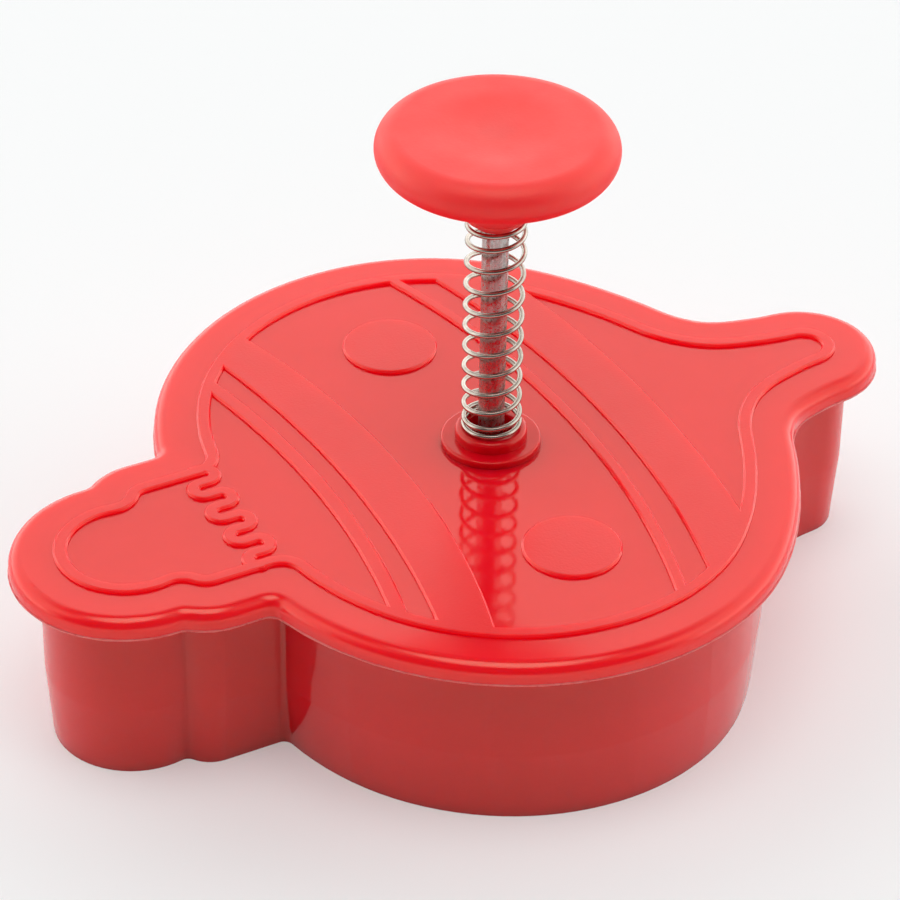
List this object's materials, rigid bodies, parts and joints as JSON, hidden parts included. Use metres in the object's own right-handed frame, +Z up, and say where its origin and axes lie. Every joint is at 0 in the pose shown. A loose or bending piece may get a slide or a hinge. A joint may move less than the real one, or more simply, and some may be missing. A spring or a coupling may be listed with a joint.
{
  "type": "plunger cutter",
  "caption": "Sprung plunger cutter for dough: bauble-shaped skirt under a flanged plate with a raised drawing, and a mushroom knob on a rod that drives a stamp plate.",
  "frame": {"origin": "middle of the plan of the flange, on the plane of the cutting edge", "axes": "+X along the bauble from its cap to its finial, +Y across it, +Z up along the rod through the knob"},
  "size_m": [0.1094, 0.0828, 0.0656],
  "materials": {
    "body_plastic": "injection moulded, satin gloss",
    "knob_plastic": "injection moulded, fine matte grain",
    "rod_steel": "bright polished",
    "spring_wire": "bright drawn wire"
  },
  "bodies": {
    "cutter": {"cutter_body": "body_plastic", "guide_bush": "body_plastic", "return_spring": "spring_wire"},
    "plunger": {"knob": "knob_plastic", "plunger_rod": "rod_steel", "stamp_plate": "body_plastic"}
  },
  "joints": [
    {"name": "plunger_slide", "type": "slide", "parent": "cutter", "child": "plunger", "axis": [0, 0, -1], "range_m": [0, 0.016], "stiffness_N_per_m": 529, "springref_m": -0.006, "deforming": ["return_spring"]}
  ]
}
